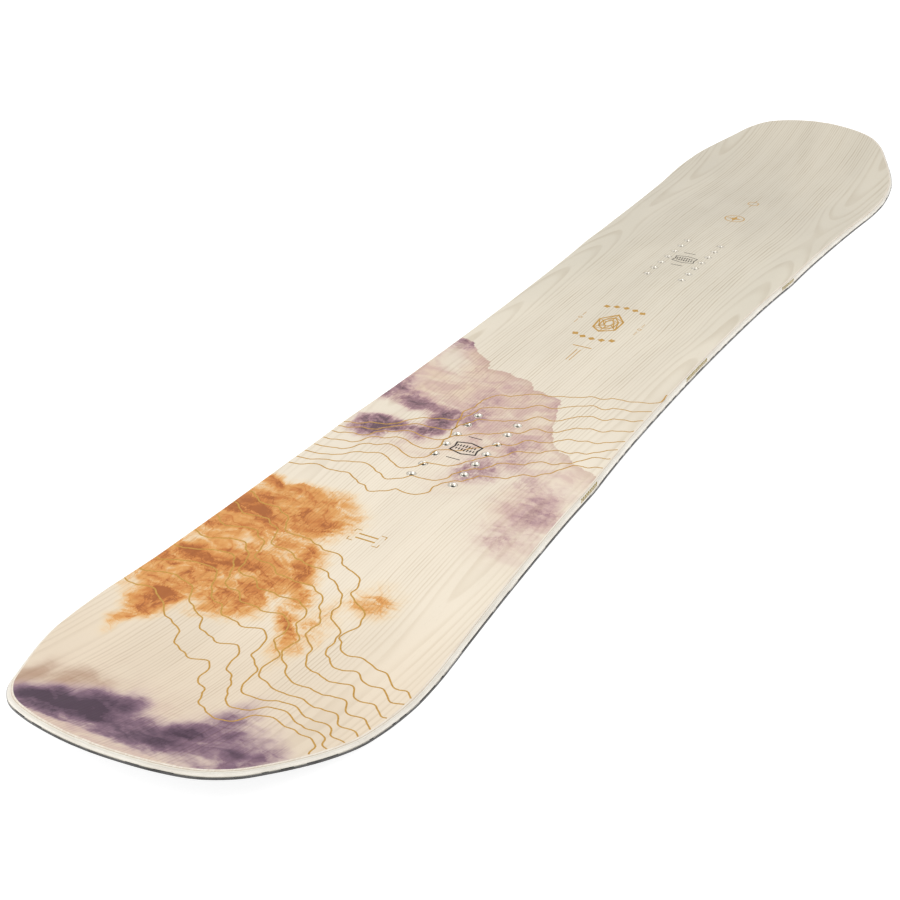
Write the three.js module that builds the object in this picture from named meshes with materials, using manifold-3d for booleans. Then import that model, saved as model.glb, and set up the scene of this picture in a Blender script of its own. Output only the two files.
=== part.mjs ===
// A twin-tip snowboard without bindings, laid base down and built up layer by layer as in a press.
// Millimetres. +X points to the nose, +Y to the left edge, +Z up. The origin is on the ground below the
// middle of the board, half way between the two insert packs.
// Heights named "level" are measured up from the underside of the base at the same place along the board.
import * as THREE from "three";
import { mergeVertices } from "three/addons/utils/BufferGeometryUtils.js";
import Module from "manifold-3d";

const wasm = await Module();
wasm.setup();

// ---- plan shape -------------------------------------------------------------------------------------
// Half widths along one quarter, from the waist to the middle of the blunt nose: a sidecut that swells a
// little under the rider's foot, the widest point, a straight tapering flank and a rounded corner.
const QUARTER_OUTLINE = [
  [0, 117.4],
  [90, 118.2],
  [176.8, 120.1],
  [225, 122.3],
  [262, 124.4],
  [300, 124.9],
  [336.8, 125.9],
  [430, 129.7],
  [520, 134.9],
  [540, 136.3],
  [575, 137.6],
  [600, 136.4],
  [620, 134.3],
  [640, 130.8],
  [667.2, 121.3],
  [703.6, 103.6],
  [722.9, 92.6],
  [740.4, 74.7],
  [750.2, 51.7],
  [755.8, 24.7],
  [757.6, 6],
];
const STEPS_PER_TIP_SPAN = 2; // rim stations between two outline points beyond the contact line
const CORE_END = 640; // the wood core and the sidewalls stop here, and the tip spacers begin
const STATION_TOLERANCE = 0.5;

// ---- side profile -----------------------------------------------------------------------------------
const CAMBER = 8.4; // height of the arch between the contact lines
const CONTACT = 567; // where the camber's parabola would meet the ground
const BLEND = 60; // half length of the bend from camber into kick
const KICK_SQUARE = 9.6e-4; // growth of the kick with the square of the distance past CONTACT
const KICK_CUBE = 0.4e-6;
const CONTACT_FLAT = [520, 540]; // level patch of base that carries the board on each side

// ---- layers (levels at full thickness; the top ones ride down with the taper) ------------------------
const THICK_MIDDLE = 7.8;
const THICK_TIP = 5.8;
const TAPER_START = 336.8; // the core is planed down from the outermost inserts to its ends
const BOND = 0.1; // glue line between two layers
const BASE_TOP = 1.3;
const EDGE_TOP = 2.0;
const TANG_BOTTOM = BASE_TOP + BOND;
const CORE_BOTTOM = EDGE_TOP + BOND;
const VENEER = 0.6; // thickness of the ash topsheet
const GLASS = 0.6; // thickness of the upper glass laminate
const CORE_COVER = VENEER + GLASS + 2 * BOND; // everything above the core

// ---- rim, as distances in from the edge of the board -------------------------------------------------
const EDGE_WIDTH = 2.0;
const TANG_REACH = 6.0;
const DAMPING_INNER = 12.0;
const SIDEWALL_FOOT = 0.6;
const BEVEL_OUTER = 1.0;
const BEVEL_INNER = 3.9;
const BEVEL_INNER_TIP = 5.0;
const BEVEL_FLARE = [695, 748]; // the bevel is planed a little wider round the ends
const SIDEWALL_INNER = 8.9;
const BEVEL_DROP_TIP = 2.1; // the planed bevel cuts this far down at the tips
const BEVEL_DROP_MIDDLE = 2.4;

// ---- wood core --------------------------------------------------------------------------------------
const STRINGERS = 11;
const STRINGER_PITCH = 20;
const CORE_STATIONS = [0, 90, 176.8, 336.8, 430, 475, 520, 540, 557, 575, 600, 620, 640];

// ---- threaded inserts -------------------------------------------------------------------------------
const STANCE = 513.6; // between the middles of the two insert packs
const INSERT_COLUMNS = 7;
const COLUMN_PITCH = 20;
const ROW_SPACING = 40;
const PACK_SPAN = [176.8, 336.8]; // flat seat for a binding around each pack
const BORE_RADIUS = 2.5; // root of an M6 thread
const BARREL_RADIUS = 4.0;
const FLANGE_RADIUS = 8.0;
const FLANGE_THICKNESS = 0.8;
const INSERT_FLOOR = 0.6;
const INSERT_RECESS = 0.3; // barrel mouth below the topsheet
const HOLE_CLEARANCE = 0.2;
const ROUND_SEGMENTS = 10;
const MAT_LENGTH = 150;
const MAT_WIDTH = 84;
const MAT_THICKNESS = 0.2;

const material = (color, roughness, metalness = 0) =>
  new THREE.MeshStandardMaterial({ color, roughness, metalness });
const MATERIALS = {
  veneer: material(0xe9dcc6, 0.28),
  glass: material(0xd8cdb0, 0.45),
  coreLight: material(0xdcc08c, 0.7),
  coreDark: material(0xb98f5a, 0.7),
  sidewall: material(0xefece4, 0.4),
  edge: material(0x8d8f92, 0.35, 1),
  base: material(0x26262a, 0.5),
  insert: material(0xc9cbcd, 0.25, 1),
  damping: material(0x1c1c1e, 0.85),
  mat: material(0xeae6d6, 0.6),
};

// ---- shape functions --------------------------------------------------------------------------------

// Height of the base's underside along the board before it is dropped onto the ground.
function rawProfile(x) {
  const distance = Math.abs(x);
  const bendStart = CONTACT - BLEND;
  if (distance <= bendStart) return CAMBER * (1 - (distance / CONTACT) ** 2);
  const startHeight = CAMBER * (1 - (bendStart / CONTACT) ** 2);
  const startSlope = (-2 * CAMBER * bendStart) / CONTACT ** 2;
  const endSlope = 2 * KICK_SQUARE * BLEND;
  const along = Math.min(distance - bendStart, 2 * BLEND);
  const bend = startHeight + startSlope * along + ((endSlope - startSlope) * along ** 2) / (4 * BLEND);
  const past = Math.max(distance - CONTACT - BLEND, 0);
  return bend + endSlope * past + KICK_SQUARE * past ** 2 + KICK_CUBE * past ** 3;
}

const GROUND = rawProfile((CONTACT_FLAT[0] + CONTACT_FLAT[1]) / 2);

// The profile with the level contact patches and the straight binding seats worked in.
function baseHeight(x) {
  const distance = Math.abs(x);
  if (distance >= CONTACT_FLAT[0] && distance <= CONTACT_FLAT[1]) return 0;
  const [seatStart, seatEnd] = PACK_SPAN;
  if (distance > seatStart && distance < seatEnd) {
    const part = (distance - seatStart) / (seatEnd - seatStart);
    return THREE.MathUtils.lerp(rawProfile(seatStart), rawProfile(seatEnd), part) - GROUND;
  }
  return Math.max(rawProfile(x) - GROUND, 0);
}

function thickness(x) {
  const part = (Math.abs(x) - TAPER_START) / (CORE_END - TAPER_START);
  return THREE.MathUtils.lerp(THICK_MIDDLE, THICK_TIP, THREE.MathUtils.clamp(part, 0, 1));
}

// A level counted down from the top of the board.
const below = (depth) => (x) => thickness(x) - depth;
const level = (height) => () => height;

// How far down the planed bevel cuts, and how far in its plane lies at a depth below the top.
const bevelDrop = (x) => {
  const tapered = (THICK_MIDDLE - thickness(x)) / (THICK_MIDDLE - THICK_TIP);
  return THREE.MathUtils.lerp(BEVEL_DROP_MIDDLE, BEVEL_DROP_TIP, tapered);
};
const bevelInner = (x) => {
  const flare = THREE.MathUtils.smoothstep(Math.abs(x), ...BEVEL_FLARE);
  return THREE.MathUtils.lerp(BEVEL_INNER, BEVEL_INNER_TIP, flare);
};
const bevel = (depth) => (x) => THREE.MathUtils.lerp(bevelInner(x), BEVEL_OUTER, depth / bevelDrop(x));
const bevelFoot = (x) => thickness(x) - bevelDrop(x);
const inset = (distance) => () => distance;

// Rim stations of the left edge from the tail to the nose, each with its place and outward direction.
function rimStations() {
  const nose = QUARTER_OUTLINE.map(([x, y]) => new THREE.Vector3(x, y, 0));
  const tail = nose.slice(1).map((p) => new THREE.Vector3(-p.x, p.y, 0));
  const left = [...tail.reverse(), ...nose];
  const right = left.map((p) => new THREE.Vector3(p.x, -p.y, 0)).reverse();
  const loop = new THREE.CatmullRomCurve3([...left, ...right], true, "centripetal");
  const spans = left.length + right.length;
  const stations = [];
  for (let i = 0; i < left.length; i++) {
    const next = left[i + 1];
    const inTip = next && Math.min(Math.abs(left[i].x), Math.abs(next.x)) >= CONTACT_FLAT[1];
    const steps = inTip ? STEPS_PER_TIP_SPAN : 1;
    for (let k = 0; k < steps; k++) {
      const t = (i + k / steps) / spans;
      const place = loop.getPoint(t);
      const along = loop.getTangent(t);
      stations.push({ x: place.x, y: place.y, outX: -along.y, outY: along.x });
    }
  }
  return stations;
}

const RIM = rimStations();

// The same with a last station beside the middle line at each end, where left and right strips butt.
const TIP_X = QUARTER_OUTLINE.at(-1)[0];
const tipStation = (side) => ({ x: side * TIP_X, y: BOND, outX: side, outY: 0 });
const STRIP_RIM = [tipStation(-1), ...RIM, tipStation(1)];

const overCore = (station) => Math.abs(station.x) <= CORE_END + STATION_TOLERANCE;

// A point of the rim moved in by a distance: square to the board's length along the core, so that the
// layers keep common stations there, and square to the outline round the tips.
function rimPoint(station, distance) {
  if (overCore(station)) return [station.x, station.y - distance / station.outY];
  return [station.x - distance * station.outX, station.y - distance * station.outY];
}

// ---- mesh helpers -----------------------------------------------------------------------------------

// Closed solid through a row of rings with the same number of points; section is the ring's outline in
// the plane, counter-clockwise, and shapes the two end caps.
function loft(rings, section) {
  const count = section.length;
  const positions = rings.flat(2);
  const index = [];
  for (let ring = 0; ring < rings.length - 1; ring++) {
    for (let i = 0; i < count; i++) {
      const a = ring * count + i;
      const b = ring * count + ((i + 1) % count);
      index.push(a, b, a + count, b, b + count, a + count);
    }
  }
  const contour = section.map(([u, v]) => new THREE.Vector2(u, v));
  const last = (rings.length - 1) * count;
  for (const [a, b, c] of THREE.ShapeUtils.triangulateShape(contour, [])) {
    index.push(c, b, a, last + a, last + b, last + c);
  }
  const geometry = new THREE.BufferGeometry();
  geometry.setAttribute("position", new THREE.Float32BufferAttribute(positions, 3));
  geometry.setIndex(index);
  return geometry;
}

// A layer that reaches from rim to rim. profile lists [inset, level] from the foot of the rim to its top.
function layer(stations, profile) {
  const rings = stations.map((station) => {
    const half = profile.map(([distance, height]) => {
      const [x, y] = rimPoint(station, distance(station.x));
      return [x, y, baseHeight(x) + height(x)];
    });
    const mirrored = half.map(([x, y, z]) => [x, -y, z]).reverse();
    return [...mirrored, ...half];
  });
  const { x } = stations[0];
  const half = profile.map(([distance, height]) => [rimPoint(stations[0], distance(x))[1], height(x)]);
  const mirrored = half.map(([y, z]) => [-y, z]).reverse();
  return loft(rings, [...mirrored, ...half]);
}

// A strip that follows the left rim, or the right one, with a section given as [inset, level].
function rimStrip(stations, side, profile) {
  const ordered = side > 0 ? profile : [...profile].reverse();
  const rings = stations.map((station) =>
    ordered.map(([distance, height]) => {
      const [x, y] = rimPoint(station, distance(station.x));
      return [x, side * y, baseHeight(x) + height(x)];
    }),
  );
  const end = stations[0].x;
  return loft(rings, ordered.map(([distance, height]) => [-side * distance(end), height(end)]));
}

// A stringer between two lines along the board; outer may be a function of x.
function stringer(inner, outer) {
  const xs = [...CORE_STATIONS.slice(1).reverse().map((x) => -x), ...CORE_STATIONS];
  const rings = xs.map((x) => {
    const sides = [inner(x), outer(x)].sort((a, b) => a - b);
    const low = baseHeight(x) + CORE_BOTTOM;
    const high = baseHeight(x) + thickness(x) - CORE_COVER;
    return [
      [x, sides[0], low],
      [x, sides[1], low],
      [x, sides[1], high],
      [x, sides[0], high],
    ];
  });
  return loft(rings, rings[0].map(([, y, z]) => [y, z]));
}

function toSolid(geometry) {
  const bare = geometry.clone();
  bare.deleteAttribute("normal");
  bare.deleteAttribute("uv");
  const merged = mergeVertices(bare, 1e-4);
  return new wasm.Manifold(
    new wasm.Mesh({
      numProp: 3,
      vertProperties: new Float32Array(merged.attributes.position.array),
      triVerts: new Uint32Array(merged.index.array),
    }),
  );
}

function toGeometry(solid) {
  const mesh = solid.getMesh();
  const geometry = new THREE.BufferGeometry();
  geometry.setAttribute("position", new THREE.Float32BufferAttribute(mesh.vertProperties, 3));
  geometry.setIndex([...mesh.triVerts]);
  return geometry;
}

function cut(geometry, cutters) {
  let solid = toSolid(geometry);
  for (const cutter of cutters) solid = solid.subtract(toSolid(cutter));
  return toGeometry(solid);
}

const board = new THREE.Group();

function addMesh(name, geometry, look, parent = board) {
  geometry.computeVertexNormals();
  const mesh = new THREE.Mesh(geometry, look);
  mesh.name = name;
  parent.add(mesh);
  return mesh;
}

// ---- insert packs -----------------------------------------------------------------------------------

// A flanged blind M6 insert standing on its flange, axis +Z.
function insertGeometry() {
  const height = THICK_MIDDLE - INSERT_RECESS - CORE_BOTTOM;
  const profile = [
    [0, 0],
    [FLANGE_RADIUS, 0],
    [FLANGE_RADIUS, FLANGE_THICKNESS],
    [BARREL_RADIUS, FLANGE_THICKNESS],
    [BARREL_RADIUS, height],
    [BORE_RADIUS, height],
    [BORE_RADIUS, INSERT_FLOOR],
    [0, INSERT_FLOOR],
  ];
  const points = profile.map(([r, z]) => new THREE.Vector2(r, z));
  return new THREE.LatheGeometry(points, ROUND_SEGMENTS).rotateX(Math.PI / 2);
}

function uprightCylinder(radius, low, high) {
  const geometry = new THREE.CylinderGeometry(radius, radius, high - low, ROUND_SEGMENTS);
  return geometry.rotateX(Math.PI / 2).translate(0, 0, (low + high) / 2);
}

// The frame of a binding seat: on the underside of the base, leaning with the camber.
function packFrame(side) {
  const [seatStart, seatEnd] = PACK_SPAN;
  const slope = (baseHeight(seatStart) - baseHeight(seatEnd)) / (seatEnd - seatStart);
  const group = new THREE.Group();
  group.position.set((side * STANCE) / 2, 0, baseHeight(STANCE / 2));
  group.rotation.y = side * Math.atan(slope);
  group.updateMatrixWorld(true);
  return group;
}

const PACKS = [
  { name: "nose", frame: packFrame(1) },
  { name: "tail", frame: packFrame(-1) },
];
const ROWS = [
  { name: "left", y: ROW_SPACING / 2 },
  { name: "right", y: -ROW_SPACING / 2 },
];
const centred = (count, pitch) => Array.from({ length: count }, (_, i) => (i - (count - 1) / 2) * pitch);
const COLUMNS = centred(INSERT_COLUMNS, COLUMN_PITCH);

// Copies of a shape at every insert of the given rows: in a pack's own frame, or in the board's.
const inRows = (shape, rows) =>
  rows.flatMap(({ y }) => COLUMNS.map((x) => shape().translate(x, y, 0)));
const atInserts = (shape, rows) =>
  PACKS.flatMap(({ frame }) => inRows(shape, rows).map((copy) => copy.applyMatrix4(frame.matrixWorld)));

const CUT_BEYOND = 1; // how far a hole's cutter runs past the faces it opens
const HOLE_LOW = CORE_BOTTOM - CUT_BEYOND;
const SEAT_HIGH = CORE_BOTTOM + FLANGE_THICKNESS + HOLE_CLEARANCE;
const barrelHole = () =>
  uprightCylinder(BARREL_RADIUS + HOLE_CLEARANCE, HOLE_LOW, THICK_MIDDLE + CUT_BEYOND);
const flangeSeat = () => uprightCylinder(FLANGE_RADIUS + HOLE_CLEARANCE, HOLE_LOW, SEAT_HIGH);

// The insert mat, or the shallow pocket for it in the laminate, which is a bond line larger all round.
function matGeometry(margin) {
  const seat = THICK_MIDDLE - CORE_COVER + BOND;
  const low = seat - 2 * margin;
  const high = seat + MAT_THICKNESS + margin;
  const box = new THREE.BoxGeometry(MAT_LENGTH + 2 * margin, MAT_WIDTH + 2 * margin, high - low);
  return box.translate(0, 0, (low + high) / 2);
}

// ---- assembly ---------------------------------------------------------------------------------------

const coreStations = RIM.filter(overCore);
const tailStations = RIM.filter((station) => !overCore(station) && station.x < 0);
const noseStations = RIM.filter((station) => !overCore(station) && station.x > 0);
tailStations.push({ ...coreStations.at(0), x: -CORE_END - 2 * BOND });
noseStations.unshift({ ...coreStations.at(-1), x: CORE_END + 2 * BOND });

addMesh(
  "base",
  layer(RIM, [
    [inset(EDGE_WIDTH + 0.15), level(0)],
    [inset(EDGE_WIDTH + 0.15), level(BASE_TOP)],
  ]),
  MATERIALS.base,
);
addMesh(
  "lower_laminate",
  layer(RIM, [
    [inset(DAMPING_INNER + BOND), level(TANG_BOTTOM)],
    [inset(DAMPING_INNER + BOND), level(EDGE_TOP)],
  ]),
  MATERIALS.glass,
);

const SIDES = [
  { name: "left", sign: 1 },
  { name: "right", sign: -1 },
];
for (const { name, sign } of SIDES) {
  addMesh(
    `steel_edge_${name}`,
    rimStrip(STRIP_RIM, sign, [
      [inset(0), level(0)],
      [inset(0), level(EDGE_TOP)],
      [inset(TANG_REACH), level(EDGE_TOP)],
      [inset(TANG_REACH), level(TANG_BOTTOM)],
      [inset(EDGE_WIDTH), level(TANG_BOTTOM)],
      [inset(EDGE_WIDTH), level(0)],
    ]),
    MATERIALS.edge,
  );
  addMesh(
    `damping_strip_${name}`,
    rimStrip(STRIP_RIM, sign, [
      [inset(TANG_REACH + BOND), level(TANG_BOTTOM)],
      [inset(TANG_REACH + BOND), level(EDGE_TOP)],
      [inset(DAMPING_INNER), level(EDGE_TOP)],
      [inset(DAMPING_INNER), level(TANG_BOTTOM)],
    ]),
    MATERIALS.damping,
  );
  addMesh(
    `sidewall_${name}`,
    rimStrip(coreStations, sign, [
      [inset(SIDEWALL_FOOT), level(CORE_BOTTOM)],
      [inset(BEVEL_OUTER), bevelFoot],
      [bevel(CORE_COVER), below(CORE_COVER)],
      [inset(SIDEWALL_INNER), below(CORE_COVER)],
      [inset(SIDEWALL_INNER), level(CORE_BOTTOM)],
    ]),
    MATERIALS.sidewall,
  );
}

const spacerProfile = [
  [inset(SIDEWALL_FOOT), level(CORE_BOTTOM)],
  [inset(BEVEL_OUTER), bevelFoot],
  [bevel(CORE_COVER), below(CORE_COVER)],
];
addMesh("nose_spacer", layer(noseStations, spacerProfile), MATERIALS.sidewall);
addMesh("tail_spacer", layer(tailStations, spacerProfile), MATERIALS.sidewall);

// Half width of the core, up to the inner faces of the sidewalls.
function coreHalfWidth(x) {
  const after = Math.max(coreStations.findIndex((station) => station.x >= x - STATION_TOLERANCE), 1);
  const [behind, ahead] = [coreStations[after - 1], coreStations[after]];
  const part = THREE.MathUtils.clamp((x - behind.x) / (ahead.x - behind.x), 0, 1);
  const [inBehind, inAhead] = [behind, ahead].map((station) => rimPoint(station, SIDEWALL_INNER)[1]);
  return THREE.MathUtils.lerp(inBehind, inAhead, part) - BOND;
}

for (const [i, middle] of centred(STRINGERS, STRINGER_PITCH).entries()) {
  const side = Math.sign(middle);
  const outermost = i === 0 || i === STRINGERS - 1;
  const near = Math.abs(middle) - STRINGER_PITCH / 2 + BOND / 2;
  const far = Math.abs(middle) + STRINGER_PITCH / 2 - BOND / 2;
  const inner = middle === 0 ? () => -far : () => side * near;
  const outer = outermost ? (x) => side * coreHalfWidth(x) : () => (side || 1) * far;
  const rows = ROWS.filter((row) => row.y === middle);
  const holes = [barrelHole, flangeSeat].flatMap((shape) => atInserts(shape, rows));
  const look = i % 2 ? MATERIALS.coreDark : MATERIALS.coreLight;
  addMesh(`core_stringer_${i + 1}`, cut(stringer(inner, outer), holes), look);
}

const throughHoles = atInserts(barrelHole, ROWS);
const pockets = PACKS.map(({ frame }) => matGeometry(BOND).applyMatrix4(frame.matrixWorld));
addMesh(
  "upper_laminate",
  cut(
    layer(RIM, [
      [bevel(VENEER + BOND + GLASS), below(VENEER + BOND + GLASS)],
      [bevel(VENEER + BOND), below(VENEER + BOND)],
    ]),
    [...pockets, ...throughHoles],
  ),
  MATERIALS.glass,
);
addMesh(
  "topsheet",
  cut(
    layer(RIM, [
      [bevel(VENEER), below(VENEER)],
      [bevel(0), below(0)],
    ]),
    throughHoles,
  ),
  MATERIALS.veneer,
);

for (const { name, frame } of PACKS) {
  board.add(frame);
  addMesh(`insert_mat_${name}`, cut(matGeometry(0), inRows(barrelHole, ROWS)), MATERIALS.mat, frame);
  for (const row of ROWS) {
    COLUMNS.forEach((x, column) => {
      const insert = addMesh(
        `insert_${name}_${row.name}_${column + 1}`,
        insertGeometry(),
        MATERIALS.insert,
        frame,
      );
      insert.position.set(x, row.y, CORE_BOTTOM);
    });
  }
}

export default board;
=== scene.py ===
"""A bare twin-tip snowboard: ash veneer deck with a watercolour print, gold contour lines and steel inserts.

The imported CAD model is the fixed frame. Its outer layers and inserts are replaced by finer pieces made from
the same driving sizes; the layers inside keep their CAD solids. Sizes are in millimetres until a mesh is
made.
"""

import math

import bmesh
import bpy
import numpy as np
from mathutils import Matrix, Vector, noise


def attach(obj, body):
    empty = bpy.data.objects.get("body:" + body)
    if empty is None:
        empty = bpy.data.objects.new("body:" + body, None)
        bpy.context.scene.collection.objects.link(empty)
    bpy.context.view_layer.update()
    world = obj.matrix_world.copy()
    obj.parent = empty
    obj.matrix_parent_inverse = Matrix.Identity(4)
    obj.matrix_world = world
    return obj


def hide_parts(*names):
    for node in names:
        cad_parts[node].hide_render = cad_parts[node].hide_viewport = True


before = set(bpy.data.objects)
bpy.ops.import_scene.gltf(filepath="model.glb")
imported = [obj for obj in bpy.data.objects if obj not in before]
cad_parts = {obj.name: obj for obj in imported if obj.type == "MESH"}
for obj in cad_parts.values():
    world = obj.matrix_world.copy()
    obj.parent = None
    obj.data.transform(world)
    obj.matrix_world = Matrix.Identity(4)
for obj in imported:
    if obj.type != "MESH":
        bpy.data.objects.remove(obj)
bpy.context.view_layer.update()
MM = 0.001

# ---- driving sizes, as in the CAD model ------------
QUARTER_OUTLINE = [
    (0, 117.4), (90, 118.2), (176.8, 120.1), (225, 122.3), (262, 124.4), (300, 124.9), (336.8, 125.9),
    (430, 129.7), (520, 134.9), (540, 136.3), (575, 137.6), (600, 136.4), (620, 134.3), (640, 130.8),
    (667.2, 121.3), (703.6, 103.6), (722.9, 92.6), (740.4, 74.7), (750.2, 51.7), (755.8, 24.7), (757.6, 6),
]
CORE_END = 640
CAMBER, CONTACT, BLEND = 8.4, 567, 60  # the camber runs into the kick within BLEND of the contact line
KICK_SQUARE, KICK_CUBE = 9.6e-4, 0.4e-6  # rise of the tips with the distance past the contact line
CONTACT_FLAT = (520, 540)
PACK_SPAN = (176.8, 336.8)  # straight seats under the bindings
THICK_MIDDLE, THICK_TIP, TAPER_START = 7.8, 5.8, 336.8
BOND = 0.1
BASE_TOP, EDGE_TOP = 1.3, 2.0
TANG_BOTTOM = BASE_TOP + BOND
CORE_BOTTOM = EDGE_TOP + BOND
VENEER = GLASS = 0.6
CORE_COVER = VENEER + GLASS + 2 * BOND
EDGE_WIDTH, TANG_REACH = 2.0, 6.0
SIDEWALL_FOOT, SIDEWALL_INNER = 0.6, 8.9
BEVEL_OUTER, BEVEL_INNER, BEVEL_INNER_TIP = 1.0, 3.9, 5.0
BEVEL_FLARE = (695, 748)
BEVEL_DROP_TIP, BEVEL_DROP_MIDDLE = 2.1, 2.4
STANCE, COLUMNS, COLUMN_PITCH, ROW_Y = 513.6, 7, 20, 20
BARREL_RADIUS, FLANGE_RADIUS, FLANGE_THICKNESS = 4.0, 8.0, 0.8
INSERT_RECESS, INSERT_FLOOR, HOLE_CLEARANCE = 0.3, 0.6, 0.2
INSERT_HEIGHT = THICK_MIDDLE - INSERT_RECESS - CORE_BOTTOM
THREAD_MINOR, THREAD_MAJOR = 2.5, 3.0
MOUTH_RADIUS = 3.35

RIM_STEP = 5.0  # spacing of the fine stations along the rim
DECK_COLUMNS, SPACER_COLUMNS = 14, 6  # strips of faces across a wide layer
SHARP_ANGLE = math.radians(28)  # edges that turn by more are shaded sharp
ROUND_SEGMENTS = 40


# ---- side profile and outline ------------
def raw_profile(x):
    """Camber between the contact lines and kicked tips past them, before it is set down on the ground."""
    distance = abs(x)
    bend_start = CONTACT - BLEND
    if distance <= bend_start:
        return CAMBER * (1 - (distance / CONTACT) ** 2)
    start_height = CAMBER * (1 - (bend_start / CONTACT) ** 2)
    start_slope = -2 * CAMBER * bend_start / CONTACT**2
    end_slope = 2 * KICK_SQUARE * BLEND
    along = min(distance - bend_start, 2 * BLEND)
    bend = start_height + start_slope * along + (end_slope - start_slope) * along**2 / (4 * BLEND)
    past = max(distance - CONTACT - BLEND, 0)
    return bend + end_slope * past + KICK_SQUARE * past**2 + KICK_CUBE * past**3


GROUND = raw_profile(sum(CONTACT_FLAT) / 2)


def base_height(x):
    """Underside of the base at a place along the board."""
    distance = abs(x)
    if CONTACT_FLAT[0] <= distance <= CONTACT_FLAT[1]:
        return 0.0
    start, end = PACK_SPAN
    if start < distance < end:
        part = (distance - start) / (end - start)
        return (1 - part) * raw_profile(start) + part * raw_profile(end) - GROUND
    return max(raw_profile(x) - GROUND, 0.0)


def taper(x):
    """0 over the middle of the board, 1 at the tips."""
    return min(max((abs(x) - TAPER_START) / (CORE_END - TAPER_START), 0), 1)


def thickness(x):
    return THICK_MIDDLE + (THICK_TIP - THICK_MIDDLE) * taper(x)


def deck_height(x):
    return base_height(x) + thickness(x)


def bevel_drop(x):
    return BEVEL_DROP_MIDDLE + (BEVEL_DROP_TIP - BEVEL_DROP_MIDDLE) * taper(x)


def bevel_inner(x):
    """Where the bevel meets the deck: it is planed a little wider round the ends."""
    start, end = BEVEL_FLARE
    share = min(max((abs(x) - start) / (end - start), 0), 1)
    return BEVEL_INNER + (BEVEL_INNER_TIP - BEVEL_INNER) * share * share * (3 - 2 * share)


def bevel_inset(depth):
    """How far in the planed bevel lies at a depth below the deck."""
    return lambda x: bevel_inner(x) + (BEVEL_OUTER - bevel_inner(x)) * depth / bevel_drop(x)


def below(depth):
    return lambda x: thickness(x) - depth


def size_at(size, x):
    """A size that is either a number or changes along the board."""
    return size(x) if callable(size) else size


def catmull_span(points, i, steps):
    """Places and directions along one span of a closed centripetal Catmull-Rom curve."""
    p0, p1, p2, p3 = (points[(i + k) % len(points)] for k in (-1, 0, 1, 2))
    d0, d1, d2 = (np.linalg.norm(b - a) ** 0.5 for a, b in ((p0, p1), (p1, p2), (p2, p3)))
    m1 = ((p1 - p0) / d0 - (p2 - p0) / (d0 + d1) + (p2 - p1) / d1) * d1
    m2 = ((p2 - p1) / d1 - (p3 - p1) / (d1 + d2) + (p3 - p2) / d2) * d1
    for k in range(steps):
        t = k / steps
        place = (
            (2 * t**3 - 3 * t**2 + 1) * p1
            + (t**3 - 2 * t**2 + t) * m1
            + (3 * t**2 - 2 * t**3) * p2
            + (t**3 - t**2) * m2
        )
        along = (
            (6 * t**2 - 6 * t) * p1
            + (3 * t**2 - 4 * t + 1) * m1
            + (6 * t - 6 * t**2) * p2
            + (3 * t**2 - 2 * t) * m2
        )
        yield place, along / np.linalg.norm(along)


def rim_stations():
    """The left rim from tail to nose as rows of (x, y, outward x, outward y)."""
    nose = np.array(QUARTER_OUTLINE, float)
    tail = nose[:0:-1] * (-1, 1)
    left = np.vstack([tail, nose])
    loop = np.vstack([left, left[::-1] * (1, -1)])
    rows = []
    for i in range(len(left) - 1):
        steps = math.ceil(np.linalg.norm(loop[i + 1] - loop[i]) / RIM_STEP)
        rows += [(*place, -along[1], along[0]) for place, along in catmull_span(loop, i, steps)]
    place, along = next(catmull_span(loop, len(left) - 1, 1))
    rows.append((*place, -along[1], along[0]))
    return rows


RIM = rim_stations()
TIP_X = QUARTER_OUTLINE[-1][0]
STRIP_RIM = [(-TIP_X, BOND, -1, 0), *RIM, (TIP_X, BOND, 1, 0)]


def over_core(station):
    return abs(station[0]) <= CORE_END + 0.5


def rim_point(station, inset):
    x, y, out_x, out_y = station
    if over_core(station):
        return x, y - inset / out_y
    return x - inset * out_x, y - inset * out_y


# ---- mesh helpers ------------
def as_mesh(name, bm, unit=MM):
    """Turns a bmesh drawn in that unit into a mesh in metres."""
    bmesh.ops.scale(bm, vec=(unit, unit, unit), verts=bm.verts)
    mesh = bpy.data.meshes.new(name)
    bm.to_mesh(mesh)
    bm.free()
    return mesh


def add_object(name, data):
    made = bpy.data.objects.new(name, data)
    bpy.context.scene.collection.objects.link(made)
    return made


def finish_mesh(name, bm, look, replaced=()):
    """Turns a bmesh in millimetres into a smooth-shaded object that rides on the board."""
    bmesh.ops.recalc_face_normals(bm, faces=bm.faces)
    return place_piece(name, as_mesh(name, bm), look, replaced)


def place_piece(name, mesh, look, replaced=()):
    mark_sharp(mesh)
    mesh.materials.clear()
    mesh.materials.append(LOOKS[look])
    piece = add_object(name, mesh)
    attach(piece, "root")
    if replaced:
        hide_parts(*replaced)
    return piece


def below_level(piece, level, look, above=-1.0):
    """Gives another look to the faces of a piece whose level over the base's underside is between two."""
    mesh = piece.data
    mesh.materials.append(LOOKS[look])
    for face in mesh.polygons:
        corners = [mesh.vertices[i].co / MM for i in face.vertices]
        height = sum(corner.z - base_height(corner.x) for corner in corners) / len(corners)
        top = sum(size_at(level, corner.x) for corner in corners) / len(corners)
        face.material_index = 1 if above < height < top else 0


def mark_sharp(mesh):
    bm = bmesh.new()
    bm.from_mesh(mesh)
    for face in bm.faces:
        face.smooth = True
    for edge in bm.edges:
        edge.smooth = edge.is_manifold and edge.calc_face_angle(0) < SHARP_ANGLE
    bm.to_mesh(mesh)
    bm.free()


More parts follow.
